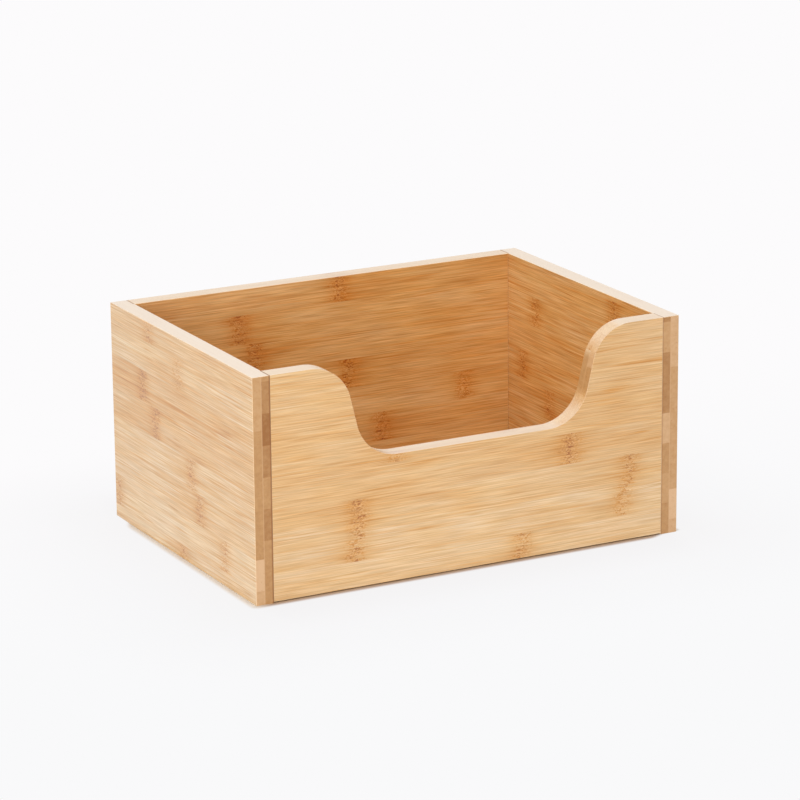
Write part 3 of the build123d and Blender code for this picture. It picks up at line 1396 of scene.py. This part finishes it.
@dataclass
class StorageBox:
    """The whole box: four boards built here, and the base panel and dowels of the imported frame."""

    rounding: float = 0.4 * MM
    scoop_rounding: float = 1.6 * MM
    groove_headroom: float = 0.2 * MM
    groove_end_gap: float = 0.3 * MM
    groove_depth: float = 4 * MM
    through_groove: float = 2.1  # its cutter's length, in half lengths of the board
    hole_clearance: float = 0.05 * MM
    hole_spare: float = 0.5 * MM
    scoop: Scoop = field(default_factory=Scoop)
    colours: BambooColours = field(default_factory=BambooColours)
    dowel_finish: DowelFinish = field(default_factory=DowelFinish)
    board_seed: float = 40.0
    base_seed: float = 200.0
    base_tones: str = "MHMMHMHMMH"
    base_knuckles: tuple[float | Span | None, ...] = (-30, 74, -96, 12, (-60, 104), 40, None, -20, 88, -70)
    base_pitch: float = 20.5
    base_trim: float = 6.0  # how much of the base's first strip was cut away, in mm

    def build(self, nodes: Mapping[str, bpy.types.Object]) -> None:
        """Build the boards and dress every piece.

        Args:
            nodes: The frame's objects by name.
        """
        maker = LaminateMaker(self.colours)
        slab = SlabTree()
        joinery = JoineryTree()
        for number, (name, look) in enumerate(LOOKS.items()):
            board = self.board(name, look)
            seed = self.board_seed * number
            finish = maker.material(name, board.place, board.thickness, look.laminate, seed)
            piece = board.build(slab, joinery, finish)
            log.info("%s: %d faces", name, len(piece.data.polygons))
        self.dress_base(nodes["base_panel"], maker)
        beech = self.dowel_finish.material()
        for name, node in nodes.items():
            if "dowel" in name:
                dress(node, beech)

    def board(self, name: str, look: BoardLook) -> Board:
        """Work out a board's sizes from the frame.

        Args:
            name: The board's node.
            look: Its direction and its laminate.

        Returns:
            The board, ready to build.
        """
        low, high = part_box(name)
        outward = look.outward
        along = UP.cross(outward)
        inner_corner = high if sum(outward) < 0 else low
        thickness = abs((high - low).dot(outward))
        half_length = abs((high - low).dot(along)) / 2

        is_side = look.slot == "side_bamboo"
        base_low, base_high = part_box("base_panel")
        base_half = Vector((base_high.x - base_low.x, base_high.y - base_low.y, 0)) / 2
        stopped_groove = 2 * (abs(base_half.dot(along)) + self.groove_end_gap)
        groove_length = stopped_groove if is_side else self.through_groove * half_length
        groove_height = base_high.z - base_low.z + self.groove_headroom
        return Board(
            name=name,
            body="root",
            slot=look.slot,
            place=BoardPlace(along, UP, outward, outward * inner_corner.dot(outward)),
            outline=self.outline(name, half_length, low.z, high.z),
            thickness=thickness,
            top=high.z,
            rounding=self.rounding,
            scoop_rounding=self.scoop_rounding,
            scoop=self.scoop if name == "front_board" else None,
            groove_size=Vector((groove_length, groove_height, 2 * self.groove_depth)),
            groove_middle=Vector((0, base_low.z + groove_height / 2, 0)),
            holes=self.dowel_holes(half_length, thickness, is_side),
        )

    def outline(
        self, name: str, half_length: float, bottom: float, top: float
    ) -> list[tuple[float, float, float]]:
        """Give a board's corners anticlockwise.

        Args:
            name: The board's node.
            half_length: Half of the board's length.
            bottom: Height of its lower edge.
            top: Height of its top edge.

        Returns:
            Each corner's place along and up the board, and the radius that rounds it.
        """
        corners = [(-half_length, bottom, 0), (half_length, bottom, 0), (half_length, top, 0)]
        if name == "front_board":
            corners += self.scoop.corners(top)
        return corners + [(-half_length, top, 0)]

    def dowel_holes(self, half_length: float, thickness: float, is_side: bool) -> DowelHoles:
        """Find where a board's dowel holes are bored, from the dowels of the frame.

        Args:
            half_length: Half of the board's length.
            thickness: The board's thickness.
            is_side: Whether it is a side board, bored from its inner face.

        Returns:
            The holes.
        """
        boxes = [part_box(f"front_left_dowel_{row}") for row in (1, 2, 3)]
        middles = [(low + high) / 2 for low, high in boxes]
        low, high = boxes[0]
        _, side_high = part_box("left_side_board")
        in_side = side_high.x - low.x + self.hole_spare
        in_end = high.x - side_high.x + self.hole_spare
        distance = abs(middles[0].y) if is_side else half_length
        through = 0.0 if is_side else thickness / 2
        return DowelHoles(
            start=Vector((distance, middles[0].z, through)),
            pitch=middles[1].z - middles[0].z,
            rows=len(middles),
            radius=(high.z - low.z) / 2 + self.hole_clearance,
            depth=in_side if is_side else in_end,
            from_ends=not is_side,
        )

    def dress_base(self, node: bpy.types.Object, maker: LaminateMaker) -> None:
        """Give the base panel its laminate, with strips that run from side to side.

        Args:
            node: The base panel's node.
            maker: Makes the laminate's finish.
        """
        low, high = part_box("base_panel")
        place = BoardPlace(Vector((1, 0, 0)), Vector((0, 1, 0)), UP, Vector((0, 0, low.z)))
        first_seam = low.y / MM - self.base_trim
        ply = Ply(first_seam, self.base_tones, self.base_tones, self.base_knuckles, self.base_pitch)
        dress(node, maker.material("base_panel", place, high.z - low.z, Laminate(ply, ply), self.base_seed))


def seen_directly(graph: Graph) -> Socket:
    """Give 1 for camera, glossy and transmission rays, and 0 for the rest.

    Args:
        graph: A material's or a world's graph.

    Returns:
        The mask.
    """
    rays = graph.add("ShaderNodeLightPath").outputs
    shown = graph.math("MAXIMUM", rays["Is Camera Ray"], rays["Is Glossy Ray"])
    return graph.math("MAXIMUM", shown, rays["Is Transmission Ray"])


@dataclass(frozen=True)
class CameraStand:
    """Where the camera stands and how it is turned."""

    place: tuple[float, float, float] = (-1.073725, -2.046569, 0.740804)
    yaw: float = radians(27.798)
    pitch: float = radians(15.882)
    roll: float = radians(-0.521)
    lens: float = 168.130
    sensor: float = 36.0

    def build(self) -> None:
        """Set up the camera."""
        ahead = Vector((sin(self.yaw) * cos(self.pitch), cos(self.yaw) * cos(self.pitch), -sin(self.pitch)))
        level = Vector((cos(self.yaw), -sin(self.yaw), 0))
        above = level.cross(ahead)
        right = cos(self.roll) * level + sin(self.roll) * above
        over = -sin(self.roll) * level + cos(self.roll) * above
        camera = put_in_scene("camera", bpy.data.cameras.new("camera"))
        camera.data.lens = self.lens
        camera.data.sensor_width = self.sensor
        camera.matrix_world = matrix_of(right, over, -ahead, Vector(self.place))
        bpy.context.scene.camera = camera


@dataclass(frozen=True)
class Floor:
    """A floor that is lit beside the box, with painted shadow in its colour there, and shows as nearly white
    away from it, with a faint painted pool of shadow.
    """

    size: float = 12.0

    # The plain part, which is seen away from the box, with a faint painted pool of shadow around it.
    background: Colour = srgb(252, 251, 252)
    foreground: Colour = srgb(249, 249, 250)
    horizon: Span = (-0.2, 0.3)
    shadow_pool: Colour = srgb(246, 245, 246)
    pool_reach: float = 150 * MM
    pool_share: float = 0.75

    # The lit part: its colour for bounced light, and its painted shadow close to the box: at the box's foot,
    # just outside it, and lighter beside the side walls.
    bounced: Colour = srgb(244, 243, 243)
    contact: Colour = srgb(188, 167, 151)
    beneath: Colour = srgb(196, 166, 137)
    beside: Colour = srgb(231, 225, 217)
    beside_fade: Span = (-12 * MM, 3 * MM)

    # How far from the box the contact line ends, its rim is gone, and the last of its shade is gone.
    line: float = 1.2 * MM
    rim: float = 5.6 * MM
    shade: float = 60 * MM
    shade_share: float = 0.05

    # Towards the far corners the shade draws in by this much, from the first place to the second.
    drawn_in: float = 6 * MM
    front_corner: Span = (128 * MM, 146 * MM)
    back_corner: Span = (75 * MM, 95 * MM)

    def build(self) -> None:
        """Lay the floor around what stands in the scene."""
        _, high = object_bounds()
        half = self.size / 2
        mesh = bpy.data.meshes.new("floor")
        corners = [(-half, -half, 0), (half, -half, 0), (half, half, 0), (-half, half, 0)]
        mesh.from_pydata(corners, [], [(0, 1, 2, 3)])
        mesh.materials.append(self.material(high))
        floor = put_in_scene("floor", mesh)
        floor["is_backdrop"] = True

    def material(self, high: Vector) -> bpy.types.Material:
        """Make the floor's material.

        Args:
            high: The box's highest corner.

        Returns:
            The material.
        """
        material = new_material("floor")
        graph = Graph(material.node_tree)
        material.node_tree.nodes.clear()
        x, y, _ = graph.parts(graph.add("ShaderNodeTexCoord").outputs["Object"])
        past_side = graph.minus(graph.unsigned(x), high.x)
        past_front = graph.minus(graph.unsigned(y), high.y)
        ahead = graph.plus(past_front, self.corner_draw(graph, past_front, x, self.front_corner))
        aside = graph.plus(past_side, self.corner_draw(graph, past_side, y, self.back_corner))
        apart = graph.vector(graph.math("MAXIMUM", aside, 0.0), graph.math("MAXIMUM", ahead, 0.0), 0.0)
        outside = graph.add("ShaderNodeVectorMath", {0: apart}, operation="LENGTH").outputs["Value"]

        seen = seen_directly(graph)
        near = graph.remap(outside, self.line, self.rim, 0.0, 1.0 - self.shade_share)
        far = graph.remap(outside, 0.0, self.shade, 0.0, self.shade_share)
        # Painted shadow: the floor's own colour darkens towards the box's foot, lighter beside the side
        # walls.
        shaded = graph.tint(graph.remap(outside, 0.0, self.line), self.beneath, self.contact)
        shaded = graph.tint(graph.remap(past_side, *self.beside_fade), shaded, self.beside)
        lit = graph.add("ShaderNodeBsdfDiffuse", {"Color": graph.tint(seen, self.bounced, shaded)})
        backdrop = graph.tint(graph.remap(y, *self.horizon), self.foreground, self.background)
        # Painted shadow: the plain floor turns a little darker towards the box.
        shadow_pool = graph.remap(outside, 0.0, self.pool_reach, self.pool_share, 0.0)
        glow = {"Color": graph.tint(shadow_pool, backdrop, self.shadow_pool), "Strength": 1.0}
        plain = graph.add("ShaderNodeEmission", glow)
        share = graph.times(graph.plus(near, far), seen)
        mixed = graph.add("ShaderNodeMixShader", {0: share, 1: lit.outputs[0], 2: plain.outputs[0]})
        graph.add("ShaderNodeOutputMaterial", {"Surface": mixed.outputs[0]})
        return material

    def corner_draw(self, graph: Graph, past: Value, along: Value, corner: Span) -> Socket:
        """Give how far the shade draws in past one wall of the box, towards a corner along the wall."""
        at_wall = graph.remap(past, -self.drawn_in, 0.0)
        return graph.times(at_wall, graph.remap(along, *corner, 0.0, self.drawn_in))


@dataclass(frozen=True)
class Lamp:
    """A large square lamp that faces the box. Its size is its side in metres, and its power is in watts."""

    AIM = Vector((0, 0, 0.07))

    name: str
    place: tuple[float, float, float]
    size: float
    power: float

    def build(self) -> None:
        """Hang the lamp."""
        lamp = bpy.data.lights.new(self.name, "AREA")
        lamp.shape = "SQUARE"
        lamp.size = self.size
        lamp.energy = self.power
        holder = put_in_scene(self.name, lamp)
        holder.location = self.place
        holder.rotation_euler = (self.AIM - Vector(self.place)).to_track_quat("-Z", "Y").to_euler()


@dataclass(frozen=True)
class Studio:
    """Camera, floor, world and lamps."""

    camera: CameraStand = CameraStand()
    floor: Floor = Floor()
    surround: float = 0.46
    lamps: tuple[Lamp, ...] = (
        Lamp("key", (-1.9, -1.45, 0.9), 1.4, 29.0),
        Lamp("front", (-0.3, -1.6, 2.0), 1.6, 16.0),
        Lamp("top", (0.2, 0.5, 2.4), 1.8, 19.0),
    )

    def build(self) -> None:
        """Put everything in the scene."""
        self.camera.build()
        self.floor.build()
        self.light_world()
        for lamp in self.lamps:
            lamp.build()
        log.info("studio: %d lamps", len(self.lamps))

    def light_world(self) -> None:
        """Surround the scene with soft white light, and show it as plain white."""
        world = bpy.data.worlds.new("studio")
        world.use_nodes = True
        bpy.context.scene.world = world
        graph = Graph(world.node_tree)
        glow = world.node_tree.nodes["Background"]
        glow.inputs["Color"].default_value = (1.0, 1.0, 1.0, 1.0)
        graph.feed(glow.inputs["Strength"], graph.lerp(seen_directly(graph), self.surround, 1.0))


def main() -> None:
    """Build the box and the studio."""
    logging.basicConfig(level=logging.INFO, format="%(name)s %(message)s")
    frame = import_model()
    bpy.context.scene.view_settings.view_transform = "Standard"
    StorageBox().build(frame["nodes"])
    Studio().build()


if __name__ == "__main__":
    main()
